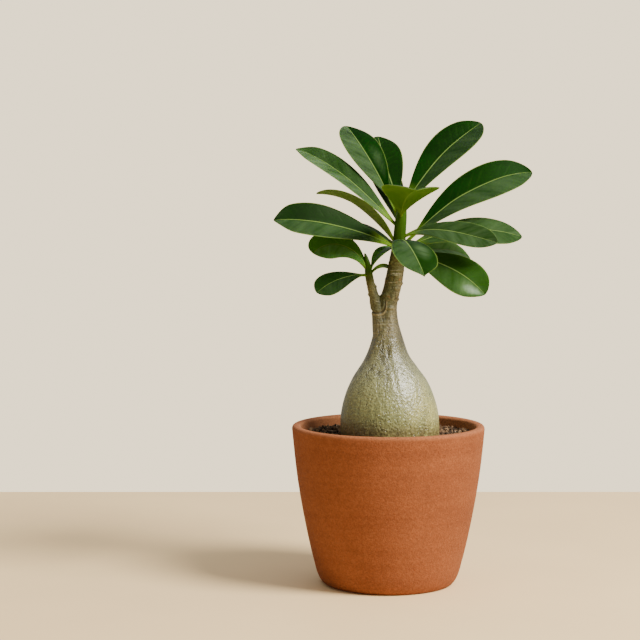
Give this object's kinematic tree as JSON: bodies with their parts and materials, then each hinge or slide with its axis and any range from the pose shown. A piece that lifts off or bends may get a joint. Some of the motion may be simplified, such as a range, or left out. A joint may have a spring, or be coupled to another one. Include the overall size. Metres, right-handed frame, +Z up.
{
  "type": "potted desert rose",
  "caption": "Young desert rose with a swollen grey-green base, two branches and glossy leaves, in a round terracotta pot.",
  "frame": {"origin": "centre of the pot's base, where it stands", "axes": "+Z up, the plant's best side faces -Y and its trunk leans to +X"},
  "size_m": [0.1622, 0.12, 0.2896],
  "materials": {
    "terracotta": "matt fired clay with a fine sandy grain",
    "soil": "crumbly dark potting mix with pale grit",
    "bark": "satin grey-green bark, greener at the growing tips",
    "leaf": "glossy deep green with a pale midrib"
  },
  "bodies": {
    "root": {"pot": "terracotta", "soil": "soil", "caudex_and_branches": "bark", "leaf_upper_left": "leaf", "leaf_top_left": "leaf", "leaf_top_centre": "leaf", "leaf_front_upturned": "leaf", "leaf_top_right": "leaf", "leaf_right_long": "leaf", "leaf_right_front": "leaf", "leaf_right_low": "leaf", "leaf_front_drooping": "leaf", "leaf_lower_right": "leaf", "leaf_middle_right": "leaf", "leaf_left_broad": "leaf", "leaf_left_arching": "leaf", "leaf_back_upright": "leaf", "leaf_back_low": "leaf", "leaf_back_left": "leaf", "side_leaf_left": "leaf", "side_leaf_back": "leaf", "side_leaf_lower_left": "leaf", "side_leaf_right": "leaf", "side_leaf_young": "leaf"}
  },
  "joints": []
}
